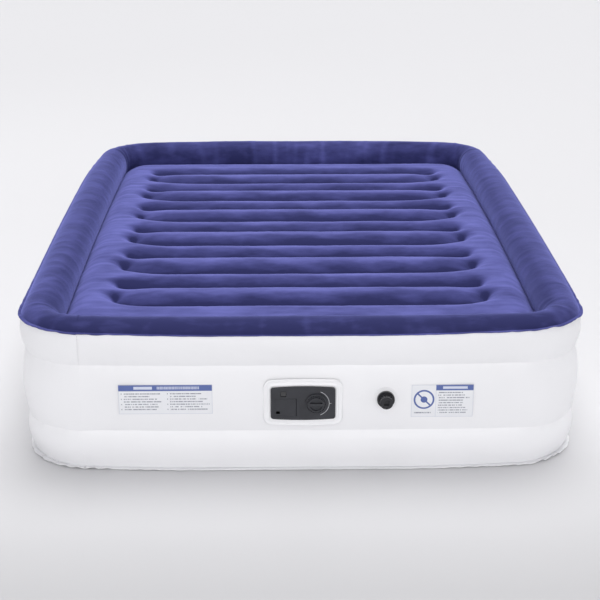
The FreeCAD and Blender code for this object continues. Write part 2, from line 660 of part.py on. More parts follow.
def dial():
    at = (DIAL_X, "pump_height")
    start = PANEL_FRONT + " + running_gap"
    skirt = disc("dial_skirt", "dial_radius", start, "dial_base", *at)
    grip = disc("dial_grip", "grip_radius", start, "dial_base + grip_rise", *at)
    scoop = disc("dial_scoop", "grip_radius - 3", start + " + dial_base", "grip_rise + 1", *at)
    bar = block("dial_bar", DIAL_X + " - grip_radius + 1", DIAL_X + " + grip_radius - 1", start + " + 1",
                "dial_base + grip_rise - 1", "pump_height - 3.5", "pump_height + 3.5")
    vents = []
    for step in range(30):
        vent_place = around(at, "dial_radius - dial_vent_inset", 12 * step)
        vents.append(disc("dial_vent", "dial_vent_radius", start + " - 1", "dial_base + 2", *vent_place))
    socket = disc("dial_socket", "shaft_radius + 0.02", start + " - 1", "5", *at)
    knob = fuse("dial_knob_body", cut("dial_cup", fuse("dial_blank", skirt, grip), scoop), bar)
    node(cut("dial_cut", knob, socket, *vents), "dial_knob")
    drum_front = PANEL_BACK + " - running_gap"
    drum_start = "(%s - drum_depth)" % drum_front
    shaft = disc("dial_shaft", "shaft_radius", drum_start, "%s + 4 - %s" % (start, drum_start), *at)
    node(shaft, "diverter_shaft")
    windows = []
    for step in range(4):
        windows.append(around(at, DRUM + " / 2", 45 + 90 * step) + (DRUM + " / 4",))
    wall = prism(
        "drum_wall_ring", "XZ", drum_start, "drum_depth", at + (DRUM,), at + (DRUM + " - drum_wall",))
    web = prism(
        "drum_web", "XZ", drum_start, "drum_wall", at + (DRUM + " - drum_wall / 2",),
        at + ("shaft_radius + 0.02",), *windows)
    node(fuse("drum_body", wall, web), "diverter_drum")


def air_drive():
    at = (DIAL_X, "pump_height")
    front = "(%s - drum_depth - 4)" % PANEL_BACK
    rear = "(%s - volute_depth)" % front
    outer = disc("volute_outer", VOLUTE, rear, "volute_depth", *at)
    hollow = disc("volute_hollow", VOLUTE + " - volute_wall", rear + " + volute_wall",
                  "volute_depth - 2 * volute_wall", *at)
    eye = disc("volute_eye", IMPELLER + " / 2", front + " - 3", "4", *at)
    passage = disc("volute_passage", "motor_shaft_radius + 3", rear + " - 1", "4", *at)
    body = cut("volute_cut", outer, hollow, eye, passage)
    feet = []
    for side in (-1, 1):
        ends = sorted(["pump_height + %d * (%s - 1)" % (side, VOLUTE),
                       "pump_height + %d * (housing_rise / 2 - housing_wall)" % side], key=number)
        feet.append(block("volute_foot", DIAL_X + " - 10", DIAL_X + " + 10", rear + " + 6", "10", *ends))
    node(fuse("volute_body", body, *feet), "volute")

    wheel_start = rear + " + 5"
    disc_plate = disc("wheel_disc", IMPELLER, wheel_start, "1.5", *at)
    hub = disc("wheel_hub", "6", wheel_start, "impeller_depth", *at)
    blades = []
    for step in range(9):
        blade = doc.addObject("Part::Box", "wheel_blade")
        turn = FreeCAD.Rotation(V(0, 1, 0), 40 * step)
        blade.Placement = FreeCAD.Placement(V(), turn)
        bind(blade, Length=IMPELLER + " - 6", Width="impeller_depth", Height="1.2")
        corner = turn.multVec(V(5, 0, -0.6))
        place(
            blade, DIAL_X + " + (%.6f)" % corner.x, "-(%s) - impeller_depth" % wheel_start,
            "pump_height + (%.6f)" % corner.z)
        blades.append(blade)
    shaft_hole = disc(
        "wheel_bore", "motor_shaft_radius + 0.02", wheel_start + " - 1", "impeller_depth + 2", *at)
    node(cut("wheel_cut", fuse("wheel_blank", disc_plate, hub, *blades), shaft_hole), "impeller")

    can_rear = "(%s - motor_depth)" % rear
    can = disc("can_outer", "motor_radius", can_rear, "motor_depth", *at)
    can_hollow = disc("can_hollow", "motor_radius - 1.5", can_rear + " + 2", "motor_depth - 4", *at)
    can_bore = disc("can_bore", "motor_shaft_radius + shaft_fit", can_rear + " - 1", "motor_depth + 2", *at)
    node(cut("can_cut", can, can_hollow, can_bore), "motor_can")
    shaft = disc(
        "rotor_shaft", "motor_shaft_radius", can_rear + " - 1", "motor_depth + impeller_depth + 6", *at)
    node(shaft, "motor_shaft")
    stack = prism(
        "armature_stack", "XZ", can_rear + " + 8", "armature_depth",
        at + ("armature_radius",), at + ("motor_shaft_radius + 0.02",))
    node(stack, "motor_armature")


def outlet_flap():
    rear = "(%s - housing_depth)" % PANEL_BACK
    leaf_back = rear + " - 0.5 - flap_thickness"
    leaf = disc("flap_leaf", "flap_radius", leaf_back, "flap_thickness", "-outlet_x", "pump_height")
    level = "pump_height + flap_radius + 2.5"
    arm = block("flap_arm", "-outlet_x - 6", "-outlet_x + 6", leaf_back, "flap_thickness",
                "pump_height + flap_radius - 2", level)
    barrel = crossbar("flap_barrel", "1.6", "-outlet_x - 6", "-outlet_x + 6", rear + " - 2.2", level)
    bore = crossbar("flap_bore", "0.88", "-outlet_x - 7", "-outlet_x + 7", rear + " - 2.2", level)
    node(cut("flap_cut", fuse("flap_body", leaf, arm, barrel), bore), "outlet_flap")
    pin = crossbar("flap_axle", "0.8", "-outlet_x - 13.5", "-outlet_x + 13.5", rear + " - 2.2", level)
    node(pin, "flap_pin")


# ---------------------------------------------------------------- manual valve

def valve():
    at = ("valve_x", "valve_height")
    neck = "(bore_radius + neck_wall)"
    base = "(bore_radius + neck_wall + base_lip)"
    flange = prism(
        "valve_flange_disc", "XZ", FACE, "flange_thickness", at + (base + " + flange_lip",),
        at + (neck + " + 1",))
    node(flange, "valve_flange")
    ring = disc("base_ring", base, FACE + " + flange_thickness", "base_rise - flange_thickness", *at)
    tube = disc("base_neck", neck, FACE + " - neck_depth", "neck_depth + base_rise", *at)
    bore = disc("base_bore", "bore_radius", FACE + " - neck_depth - 1", "neck_depth + base_rise + 2", *at)
    node(cut("base_cut", fuse("base_blank", ring, tube), bore), "valve_base")

    seat = FACE + " - neck_depth + 4"
    barrel = disc("insert_barrel", "bore_radius - insert_fit", seat, "neck_depth - 4 + base_rise + 1", *at)
    rim = disc(
        "insert_rim", "bore_radius + insert_lip", FACE + " + base_rise + insert_fit", "insert_rim_rise", *at)
    hollow = disc("insert_hollow", INSERT_BORE, seat + " + 2", "neck_depth + base_rise + 4", *at)
    throat = disc("insert_throat", INSERT_BORE + " - 2", seat + " - 1", "4", *at)
    hinge_level = "valve_height + %s + 0.5" % INSERT_BORE
    ears = []
    for side in (-1, 1):
        near = "valve_x + %d * 4" % side
        ear = block("insert_ear", near + " - 1", near + " + 1", seat + " - 3", "3.5",
                    hinge_level + " - 1.2", hinge_level + " + 1.2")
        ears.append(ear)
    ear_bore = crossbar("insert_ear_bore", "0.7", "valve_x - 6", "valve_x + 6", seat + " - 1.5", hinge_level)
    blank = fuse("insert_blank", barrel, rim, *ears)
    node(cut("insert_cut", blank, hollow, throat, ear_bore), "valve_insert")

    leaf = disc("valve_leaf", INSERT_BORE + " - 1.2", seat + " - 0.3 - 1.2", "1.2", *at)
    tab = block("valve_leaf_tab", "valve_x - 2.5", "valve_x + 2.5", seat + " - 0.3 - 1.2", "1.2",
                hinge_level + " - 4", hinge_level)
    axle = crossbar("valve_leaf_axle", "0.6", "valve_x - 4.8", "valve_x + 4.8", seat + " - 1.5", hinge_level)
    node(fuse("valve_leaf_body", leaf, tab, axle), "valve_flap")
    valve_cap(at)


def valve_cap(at):
    start = FACE + " + base_rise + insert_fit + insert_rim_rise + 0.3"
    length = "(cap_rise - (base_rise + insert_fit + insert_rim_rise + 0.3))"
    cap = disc("cap_outer", CAP_RADIUS, start, length, *at)
    plug = disc("cap_plug", INSERT_BORE + " - plug_fit", start + " - plug_length", "plug_length + 1", *at)
    recess = block("cap_recess_block", "valve_x - cap_recess / 2", "valve_x + cap_recess / 2",
                   start + " + %s - 7" % length, "8",
                   "valve_height - cap_recess / 2", "valve_height + cap_recess / 2")
    o_ring = "(%s - o_ring_inset)" % CAP_RADIUS
    groove = prism("cap_groove", "XZ", start + " - 1", "2 * o_ring_section + 1.1",
                   at + (o_ring + " + o_ring_section + 0.1",), at + (o_ring + " - o_ring_section - 0.1",))
    knurls = []
    for step in range(16):
        knurl_place = around(at, CAP_RADIUS + " + 0.4", 22.5 * step + 11.25)
        knurls.append(disc("cap_knurl", "1.2", start + " - 1", "%s - 2" % length, *knurl_place))
    node(cut("cap_cut", fuse("cap_blank", cap, plug), recess, groove, *knurls), "valve_cap")
    ring = doc.addObject("Part::Torus", "seal_ring")
    ring.Placement = FreeCAD.Placement(V(), FreeCAD.Rotation(V(1, 0, 0), 90))
    bind(ring, Radius1=o_ring, Radius2="o_ring_section")
    place(ring, "valve_x", "-(%s + o_ring_section + 0.05)" % start, "valve_height")
    node(ring, "cap_o_ring")


# ---------------------------------------------------------------- labels

def label_outline(bottom, rise):
    """Thin strip that follows the middle band's bulge, as a profile seen from the side."""
    low_out = "(%s - lower_groove_inset)" % FACE
    high_out = "(%s - upper_groove_inset)" % FACE
    run = "(upper_groove_height - lower_groove_height)"
    lean = "(lower_groove_inset - upper_groove_inset)"
    chord = "sqrt(%s^2 + %s^2)" % (run, lean)
    depth = "sqrt(middle_bulge_radius^2 - %s^2 / 4)" % chord
    centre_out = "((%s + %s) / 2 - %s * %s / %s)" % (low_out, high_out, depth, run, chord)
    centre_z = "((upper_groove_height + lower_groove_height) / 2 + %s * %s / %s)" % (depth, lean, chord)
    inner = "(middle_bulge_radius + label_gap)"
    outer = "(middle_bulge_radius + label_gap + label_thickness)"

    def reach(radius, height):
        return "-(%s + sqrt(%s^2 - (%s - %s)^2))" % (centre_out, radius, height, centre_z)

    top = "(%s + %s)" % (bottom, rise)
    return [
        (reach(inner, bottom), bottom, inner, -1), (reach(inner, top), top),
        (reach(outer, top), top, outer, 1), (reach(outer, bottom), bottom),
    ]


def labels():
    for label in ("wide_label", "small_label"):
        outline = label_outline(label + "_bottom", label + "_rise")
        left = "%s_x - %s_width / 2" % (label, label)
        strip = prism(label + "_strip", "YZ", left, label + "_width", outline)
        node(strip, label)


# ---------------------------------------------------------------- build and write

side_walls()
border_roll()
quilt_panel()
seams_and_floor()
membranes()
beams()
pump_collar()
pump_faceplate()
pump_housing()
housing_screws()
cord_compartment()
cord_lid()
switch()
dial()
air_drive()
outlet_flap()
valve()
labels()
doc.recompute()

faults = [item.Label for item in doc.Objects if "Invalid" in item.State or "Error" in item.State]
for item in nodes:
    if item.Shape.isNull() or not item.Shape.isValid() or not item.Shape.Solids:
        faults.append(item.Label)
if faults:
    raise RuntimeError("these objects failed: " + ", ".join(faults))

os.makedirs("parts", exist_ok=True)
for item in nodes:
    item.Shape.exportStep("parts/%s.step" % item.Label)
    box = item.Shape.BoundBox
    extents = (box.XMin, box.XMax, box.YMin, box.YMax, box.ZMin, box.ZMax)
    print("%-18s %9.1f mm3" % (item.Label, item.Shape.Volume), "x %.1f %.1f y %.1f %.1f z %.1f %.1f" % extents)
print(len(nodes), "nodes written")
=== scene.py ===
import bpy
import bmesh
import numpy
from math import asin, atan2, ceil, cos, exp, hypot, pi, radians, sin
from mathutils import Matrix, Vector, noise


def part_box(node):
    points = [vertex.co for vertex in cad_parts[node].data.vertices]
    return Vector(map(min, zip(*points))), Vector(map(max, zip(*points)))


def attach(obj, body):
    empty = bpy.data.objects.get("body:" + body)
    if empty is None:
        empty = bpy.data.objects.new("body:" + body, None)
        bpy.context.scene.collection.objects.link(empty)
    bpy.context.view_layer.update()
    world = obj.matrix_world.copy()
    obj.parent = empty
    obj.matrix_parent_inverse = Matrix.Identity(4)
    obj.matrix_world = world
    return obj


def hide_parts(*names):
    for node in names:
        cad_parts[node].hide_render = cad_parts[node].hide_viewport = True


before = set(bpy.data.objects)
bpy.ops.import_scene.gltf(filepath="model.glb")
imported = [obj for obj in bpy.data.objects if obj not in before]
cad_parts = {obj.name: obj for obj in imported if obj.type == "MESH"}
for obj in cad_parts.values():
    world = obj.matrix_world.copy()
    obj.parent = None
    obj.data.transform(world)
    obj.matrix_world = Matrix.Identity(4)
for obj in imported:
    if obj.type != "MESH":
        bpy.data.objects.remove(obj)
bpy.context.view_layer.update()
print("frame loaded:", len(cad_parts), "nodes")


class Wire:
    # a shader value that can be worked with like a number
    def __init__(self, recipe, socket):
        self.recipe, self.socket = recipe, socket

    def math(self, operation, other=0.0, swap=False):
        pair = [other, self] if swap else [self, other]
        return self.recipe.add("ShaderNodeMath", {"operation": operation}, dict(enumerate(pair)))

    def __add__(self, other): return self.math("ADD", other)
    def __sub__(self, other): return self.math("SUBTRACT", other)
    def __rsub__(self, other): return self.math("SUBTRACT", other, True)
    def __mul__(self, other): return self.math("MULTIPLY", other)
    def __truediv__(self, other): return self.math("DIVIDE", other)
    def __pow__(self, other): return self.math("POWER", other)
    def __lt__(self, other): return self.math("LESS_THAN", other)
    def __gt__(self, other): return self.math("GREATER_THAN", other)
    def __abs__(self): return self.math("ABSOLUTE")


class Recipe:
    # a material and the nodes that make it
    def __init__(self, name):
        self.material = bpy.data.materials.new(name)
        self.material.use_nodes = True
        self.tree = self.material.node_tree
        self.tree.nodes.clear()
        self.place = self.add("ShaderNodeTexCoord", output="Object")

    def add(self, kind, settings=None, inputs=None, output=0):
        node = self.tree.nodes.new(kind)
        for name, value in (settings or {}).items():
            if name == "stops":
                while len(node.color_ramp.elements) < len(value):
                    node.color_ramp.elements.new(0.5)
                for element, (at, shade) in zip(node.color_ramp.elements, value):
                    element.position, element.color = at, tone(shade)
            else:
                setattr(node, name, value)
        for name, value in (inputs or {}).items():
            socket = node.inputs[name]
            if isinstance(value, Wire):
                self.tree.links.new(value.socket, socket)
            else:
                socket.default_value = value
        return None if output is None else Wire(self, node.outputs[output])

    def axes(self):
        split = self.add("ShaderNodeSeparateXYZ", None, {0: self.place}).socket.node
        return [Wire(self, output) for output in split.outputs]

    def stretched(self, scale):
        return self.add("ShaderNodeMapping", None, {"Vector": self.place, "Scale": scale})

    def grain(self, scale, detail=2.0, vector=None, rough=0.5):
        wanted = {"Vector": vector or self.place, "Scale": scale, "Detail": detail, "Roughness": rough}
        return self.add("ShaderNodeTexNoise", None, wanted)

    def ramp(self, value, stops):
        return self.add("ShaderNodeValToRGB", {"stops": stops}, {0: value})

    def blend(self, share, under, over):
        wanted = {0: share, 6: under if isinstance(under, Wire) else tone(under),
                  7: over if isinstance(over, Wire) else tone(over)}
        return self.add("ShaderNodeMix", {"data_type": "RGBA"}, wanted, 2)

    def attribute(self, name):
        return self.add("ShaderNodeAttribute", {"attribute_name": name}, output="Fac")

    def bump(self, height, strength, distance, under=None):
        wanted = {"Height": height, "Strength": strength, "Distance": distance}
        if under:
            wanted["Normal"] = under
        return self.add("ShaderNodeBump", None, wanted)

    def finish(self, surface):
        shader = self.add("ShaderNodeBsdfPrincipled", None, surface)
        self.add("ShaderNodeOutputMaterial", output=None, inputs={"Surface": shader})
        return self.material


def tone(shade):
    return (shade,) * 3 + (1,) if isinstance(shade, (int, float)) else tuple(shade) + (1,) * (4 - len(shade))


plan = {"half": (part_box("right_wall")[1].x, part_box("head_wall")[1].y), "corner": 0.180}
around = 2 * (sum(plan["half"]) * 2 - 4 * plan["corner"]) + 2 * pi * plan["corner"]
joinDistance = 0.00001  # points nearer than this become one


def roundRect(share, half, radius, even=None):
    # a point of a rounded rectangle and its outward direction, from the bottom left, anticlockwise
    # even is the outline that spreads the points, so that rows of other sizes line up
    wide, tall, corner = even or (*half, radius)
    runs = [2 * (wide - corner), corner * pi / 2, 2 * (tall - corner), corner * pi / 2] * 2
    left = (share % 1.0) * sum(runs)
    for leg, run in enumerate(runs):
        if left <= run or leg == 7:
            break
        left -= run
    along, side = left / run, leg // 2
    reach, out = half[side % 2] - radius, half[1 - side % 2]
    if leg % 2:
        angle = (along - 1) * pi / 2
        spot = Vector((reach + radius * cos(angle), radius * sin(angle) + radius - out))
        away = Vector((cos(angle), sin(angle)))
    else:
        spot, away = Vector(((2 * along - 1) * reach, -out)), Vector((0, -1))
    for turn in range(side):
        spot, away = Vector((-spot.y, spot.x)), Vector((-away.y, away.x))
    return spot, away


def roundTheBed(share, inset, radius):
    half = [size - inset for size in plan["half"]]
    return roundRect(share, half, radius, (*plan["half"], plan["corner"]))


def cornerNearness(spot, reach=0.42):
    # 1 in a corner of the bed, 0 more than reach from it
    far = hypot(plan["half"][0] - abs(spot[0]), plan["half"][1] - abs(spot[1]))
    return max(0.0, 1 - far / reach) ** 1.5


def between(value):
    return min(1.0, max(0.0, value))


def ease(value, low, high):
    share = between((value - low) / (high - low))
    return share * share * (3 - 2 * share)


def swell(scale, x, y, z=1):
    # smooth noise from about -1 to 1, with its own scale along each axis
    return noise.noise(Vector((x * scale[0], y * scale[1], z * scale[2])))


# how the full bed differs from a plain rounded block
slack = {"drawIn": 0.010, "headDrawIn": 0.012, "rightDrawIn": 0.006, "floorDrawIn": 0.022, "floorReach": 0.12,
         "drawReach": 0.48, "sideBow": 0.008, "bowReach": 0.85, "bowEdge": 0.06, "cornerLift": 0.014,
         "headLift": -0.012, "liftReach": 0.55, "liftFrom": (0.26, 0.38), "crown": 0.005, "crownFall": 0.027,
         "crownTop": -0.15}


def drawIn(spot, height):
    # the film pulls in at the corners, most at the floor, and the long sides bow outwards
    low = max(0.0, 1 - height / slack["floorReach"]) ** 1.5
    corner = slack["drawIn"] + slack["headDrawIn"] * (spot[1] > 0) + slack["floorDrawIn"] * low
    corner += slack["rightDrawIn"] * (spot[0] > 0 > spot[1])
    beside = ease(abs(spot[0]), plan["half"][0] - plan["corner"], plan["half"][0] - slack["bowEdge"])
    bow = slack["sideBow"] * max(0.0, 1 - (spot[1] / slack["bowReach"]) ** 2) * beside
    return cornerNearness(spot, slack["drawReach"]) * corner - bow


def cornerLift(spot, height):
    # the top edge rises towards the foot's corners, and falls a little at the head's
    lift = slack["headLift"] if spot[1] > 0 else slack["cornerLift"]
    return cornerNearness(spot, slack["liftReach"]) * lift * ease(height, *slack["liftFrom"])


def crown(y):
    # the sleeping surface stands highest across its middle
    return slack["crown"] - slack["crownFall"] * (y - slack["crownTop"]) ** 2


def toObject(name, bm, finish, smooth=True):
    mesh = bpy.data.meshes.new(name)
    for face in bm.faces:
        face.smooth = smooth
    bm.to_mesh(mesh)
    bm.free()
    piece = bpy.data.objects.new(name, mesh)
    bpy.context.scene.collection.objects.link(piece)
    mesh.materials.append(finish)
    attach(piece, "bed")
    return piece


def thicken(piece, thick, offset):
    solid = piece.modifiers.new("thickness", "SOLIDIFY")
    solid.thickness, solid.offset = thick, offset


def wrapGrid(columns, profile, place):
    # a grid bent round the bed, each of its rows on one line of the profile
    bm = bmesh.new()
    rows = len(profile) - 1
    bmesh.ops.create_grid(bm, x_segments=columns, y_segments=rows, size=0.5)
    for vert in bm.verts:
        row = round((vert.co.y + 0.5) * rows)
        vert.co = place(vert.co.x + 0.5, row / rows, *profile[row])
    bmesh.ops.remove_doubles(bm, verts=bm.verts, dist=joinDistance)
    return bm


def bulge(low, high, radius, steps):
    # points of an arc from low to high, each (inset, height), bowed outwards
    chord = Vector(high) - Vector(low)
    half = asin(chord.length / 2 / radius)
    across = Vector((-chord.y, chord.x)).normalized()
    middle = (Vector(low) + Vector(high)) / 2 - across * radius * cos(half)
    points = []
    for step in range(steps + 1):
        angle = half * cos(pi * step / steps)  # closer together near the ends
        points.append(middle + (across * cos(angle) - chord.normalized() * sin(angle)) * radius)
    return [tuple(point) for point in points]


def flockFinish():
    recipe = Recipe("flock")
    fibre = recipe.grain(1400.0, 2.0)
    brushed = recipe.grain(1.0, 3.0, recipe.stretched((9.0, 26.0, 20.0)), 0.6)
    patches = recipe.grain(5.0, 3.0)
    # the nap attribute brings painted shade and painted light into the flock's colour
    light = brushed * 0.5 + patches * 0.35 + fibre * 0.15 + recipe.attribute("nap") * 0.35
    colour = recipe.ramp(light, [(0.30, (0.026, 0.028, 0.096)), (0.48, (0.052, 0.055, 0.178)),
                                 (0.76, (0.116, 0.122, 0.360))])
    bump = recipe.bump(brushed, 0.25, 0.002, recipe.bump(fibre, 0.35, 0.0006))
    return recipe.finish({"Base Color": colour, "Roughness": 0.98, "Normal": bump,
                          "Specular IOR Level": 0.05, "Sheen Weight": 0.66, "Sheen Roughness": 0.38,
                          "Sheen Tint": tone((0.36, 0.39, 0.98))})


def filmFinish(name, shade, scale=1.0):
    recipe = Recipe(name)
    cloud = recipe.grain(3.0 * scale, 2.0)
    skin = recipe.grain(420.0 * scale, 3.0)
    crease = recipe.grain(1.0, 2.0, recipe.stretched((14.0, 14.0, 40.0)))
    colour = recipe.ramp(cloud, [(0.3, [part * 0.965 for part in shade]), (0.7, shade)])
    bump = recipe.bump(crease, 0.16, 0.002, recipe.bump(skin, 0.10, 0.0002))
    return recipe.finish({"Base Color": colour, "Roughness": cloud * 0.1 + skin * 0.08 + 0.26,
                          "Normal": bump, "IOR": 1.5, "Coat Weight": 0.15})


def mouldingFinish(name, shade, rough, scale=900.0, marks=None):
    recipe = Recipe(name)
    spark = recipe.grain(scale, 3.0, rough=0.65)
    rub = recipe.grain(30.0, 3.0)
    worn = [part * 1.7 + 0.002 for part in shade]
    colour = recipe.ramp(spark * 0.5 + rub * 0.5, [(0.35, shade), (0.7, worn)])
    if marks:
        colour = recipe.blend(marks(recipe), colour, (0.62, 0.63, 0.66))
    return recipe.finish({"Base Color": colour, "Roughness": rub * 0.2 + spark * 0.12 + (rough - 0.16),
                          "Normal": recipe.bump(spark, 0.3, 0.0003), "IOR": 1.5})


def steelFinish():
    recipe = Recipe("steel")
    brushed = recipe.grain(1.0, 3.0, recipe.stretched((1800.0, 90.0, 1800.0)))
    colour = recipe.ramp(brushed, [(0.3, 0.36), (0.7, 0.62)])
    return recipe.finish({"Base Color": colour, "Metallic": 1.0, "Roughness": brushed * 0.2 + 0.22,
                          "Normal": recipe.bump(brushed, 0.2, 0.0002)})


flock = flockFinish()
whiteFilm = filmFinish("whiteFilm", (0.87, 0.87, 0.888))
innerFilm = filmFinish("innerFilm", (0.62, 0.63, 0.66), 2.0)
print("flock and film finishes made")

# the side walls, three bulging bands between the levels
wall = {"columns": 880, "levels": (0.002, 0.111, 0.296, 0.381), "grooveInset": 0.012, "seamInset": 0.005,
        "bulges": ((0.140, 16), (0.363, 24), (0.115, 14)), "grooveWidth": 0.017, "flatBelow": 0.004,
        "calmBelow": 0.02, "pucker": 0.0030, "plainShare": 0.12, "waviness": 0.0016, "gatherShare": 0.5,
        "sagHeight": (0.0008, 0.0035), "ripple": (42, 16, 1.0), "slow": (5.5, 7, 9.0),
        "gather": (16, 10, 5.0), "sag": (15, 3.0, 3), "opening": (0.088, 0.048), "openingSpread": 1.4,
        "valveHole": 0.022, "valveRim": 0.04, "foot": -0.95, "rimReach": 0.15, "rimAbove": 0.01}
quiet = {"side": 0.62, "sideFade": 0.08, "bottom": 0.112, "top": 0.292, "fade": 0.02, "foot": -0.9}
pumpMiddle = Vector((0.0, sum(corner.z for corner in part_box("pump_housing")) / 2))
valveMiddle = Vector(((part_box("valve_cap")[0].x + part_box("valve_cap")[1].x) / 2,
                      (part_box("valve_cap")[0].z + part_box("valve_cap")[1].z) / 2))


def quietFoot(spot, height):
    # 1 where the labels, pump and valve lie on the foot, so that the film stays true there
    across = between((quiet["side"] - abs(spot[0])) / quiet["sideFade"])
    above = between((height - quiet["bottom"]) / quiet["fade"])
    under = between((quiet["top"] - height) / quiet["fade"])
    return across * (above * under) if spot[1] < quiet["foot"] else 0.0


def wallPoint(share, rise, inset, height):
    spot, away = roundTheBed(share, inset, plan["corner"] - inset)
    near, along = cornerNearness(spot), share * around
    groove = max(exp(-((height - level) / wall["grooveWidth"]) ** 2) for level in wall["levels"])
    push = wall["pucker"] * (wall["plainShare"] + near) * groove * swell(wall["ripple"], along, height)
    push += (wall["waviness"] * swell(wall["slow"], along, height) * (1 - quietFoot(spot, height))
             * min(1.0, height / wall["calmBelow"]))
    push += wall["pucker"] * wall["gatherShare"] * near * swell(wall["gather"], along, height)
    plain, gathered = wall["sagHeight"]
    lift = groove * (plain + gathered * near) * swell(wall["sag"], along, 1, height)
    if height < wall["flatBelow"]:
        lift = push = 0.0
    push -= drawIn(spot, height)
    lift += cornerLift(spot, height)
    spot = spot + away * push
    return spot.x, spot.y, height + lift


def cutOpening(bm, middle, inside, edgeOf):
    # takes out the foot's faces inside an opening, and brings the rim onto the opening's edge
    gone = [face for face in bm.faces if face.calc_center_median().y < wall["foot"]
            and inside(Vector(face.calc_center_median().xz) - middle)]
    bmesh.ops.delete(bm, geom=gone, context="FACES")
    for vert in bm.verts:
        offset = Vector(vert.co.xz) - middle
        near = offset.length < wall["rimReach"] and vert.co.z > wall["rimAbove"]
        if near and vert.is_boundary and vert.co.y < wall["foot"]:
            edge = edgeOf(offset)
            vert.co.x, vert.co.z = middle.x + edge.x, middle.y + edge.y


def sideWalls():
    levels = [(wall["grooveInset"], level) for level in wall["levels"]]
    levels[-1] = (wall["seamInset"], wall["levels"][-1])
    profile = [levels[0]]
    for low, high, (radius, steps) in zip(levels, levels[1:], wall["bulges"]):
        profile += bulge(low, high, radius, steps)[1:]
    bm = wrapGrid(wall["columns"], profile, wallPoint)
    wide, tall = wall["opening"]
    spread, hole = wall["openingSpread"], wall["valveHole"]

    def toRectangle(at):
        return Vector((max(-wide, min(wide, at.x * spread)), max(-tall, min(tall, at.y * spread))))
    cutOpening(bm, pumpMiddle, lambda at: abs(at.x) < wide and abs(at.y) < tall, toRectangle)
    cutOpening(bm, valveMiddle, lambda at: at.length < hole,
               lambda at: at.normalized() * hole if at.length < wall["valveRim"] else at)
    walls = toObject("sideWalls", bm, whiteFilm)
    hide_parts("foot_wall", "head_wall", "left_wall", "right_wall")


sideWalls()
print("side walls made")

# the welded edges: the seam under the roll and the hem at the floor, each as (inset, height) points
ruffle = {"columns": 1300, "reach": 0.5, "plainShare": 0.15, "long": (24, 0, 1), "short": (61, 2.0, 1),
          "shortShare": 0.5, "sideways": (33, 7.0, 1), "sidewaysShare": 0.4, "oneWayBelow": 0.1}
seam = {"height": 0.0045, "cornerReach": 0.006, "level": 0.381, "thick": 0.0012,
        "profile": [(0.030, 0.3830), (0.006, 0.3830), (0.004, 0.3826), (0.002, 0.3822), (0.0005, 0.3820)]}
hem = {"height": 0.012, "cornerReach": 0.002, "level": 0.001, "thick": 0.0010, "rim": 0.03,
       "profile": [(0.060, 0.0010), (0.016, 0.0010), (0.011, 0.0012), (0.008, 0.0014), (0.005, 0.0016),
                   (0.001, 0.0018), (-0.003, 0.0020)]}


def strip(name, edging, finish):
    level = edging["level"]

    def place(share, rise, inset, height):
        spot, away = roundTheBed(share, inset, plan["corner"] - inset)
        near, along = cornerNearness(spot, ruffle["reach"]), share * around
        loose = rise * (ruffle["plainShare"] + near)
        wave = swell(ruffle["long"], along, 1, level)
        wave += ruffle["shortShare"] * swell(ruffle["short"], along, 1, level)
        lift = edging["height"] * loose * (abs(wave) if level < ruffle["oneWayBelow"] else wave)
        sideways = ruffle["sidewaysShare"] * edging["height"] * loose
        push = sideways * swell(ruffle["sideways"], along, 1, level) - drawIn(spot, level)
        push += edging["cornerReach"] * rise * near
        lift += cornerLift(spot, level)
        return spot.x + away.x * push, spot.y + away.y * push, height + lift
    piece = toObject(name, wrapGrid(ruffle["columns"], edging["profile"], place), finish)
    thicken(piece, edging["thick"], 0.0)
    return piece


def bottomSheet():
    sheet = strip("bottomSheet", hem, whiteFilm)
    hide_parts("bottom_sheet")
    bm = bmesh.new()
    bm.from_mesh(sheet.data)
    wide, tall = (half - hem["rim"] for half in plan["half"])
    inner = [edge for edge in bm.edges if edge.is_boundary
             and abs(edge.verts[0].co.x) < wide and abs(edge.verts[0].co.y) < tall]
    bmesh.ops.holes_fill(bm, edges=inner)
    bm.to_mesh(sheet.data)
    bm.free()


topSeam = strip("topSeam", seam, flock)
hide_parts("top_seam")
bottomSheet()
print("seam and hem made")

# the raised roll round the top
# the last keys set the nap's streaks, painted shade over the whole roll and on its inner faces, and painted
# light towards the head
roll = {"columns": 900, "rows": 26, "middle": (0.059, 0.363), "radius": 0.057, "ends": (20.5, 206.0),
        "level": 0.4, "footDrop": 0.007, "footFrom": (0.70, 0.93), "wrinkle": 0.0016, "bend": (3, 1, 4.0),
        "bendSize": (0.012, 0.02), "bendTurns": 5, "lines": (11, 0.8, 2.0), "linesShare": 0.45,
        "fine": (46, 1.6, 6.0), "fineShare": (0.10, 0.45),
        "sway": 0.0016, "swayScale": (4.5, 1, 8.0), "streak": (26, 5, 3.0), "napStreak": 0.55, "paintedRollShade": 0.32,
        "paintedInnerShade": 0.30, "innerShadeFrom": (0.065, 0.100), "paintedHeadLight": 0.42, "headLightFrom": (0.82, 0.94)}


def ridged(value, width=2.2, sharpness=5.0):
    # thin raised lines where the noise passes nought
    return max(0.0, 1 - abs(value) * width) ** sharpness


def rollWrinkle(along, rise, near):
    bow, stray = roll["bendSize"]
    bent = along + bow * sin(rise * roll["bendTurns"]) + stray * swell(roll["bend"], along, rise)
    lines = ridged(swell(roll["lines"], bent, rise))
    plain, gathered = roll["fineShare"]
    return lines * (roll["linesShare"] + near) + swell(roll["fine"], bent, rise) * (plain + gathered * near)


# stores a point value that mixes the nap's streaks with painted shade and painted light
def setNapAndShade(piece, values):
    nap = piece.data.attributes.new("nap", "FLOAT", "POINT")
    nap.data.foreach_set("value", values)


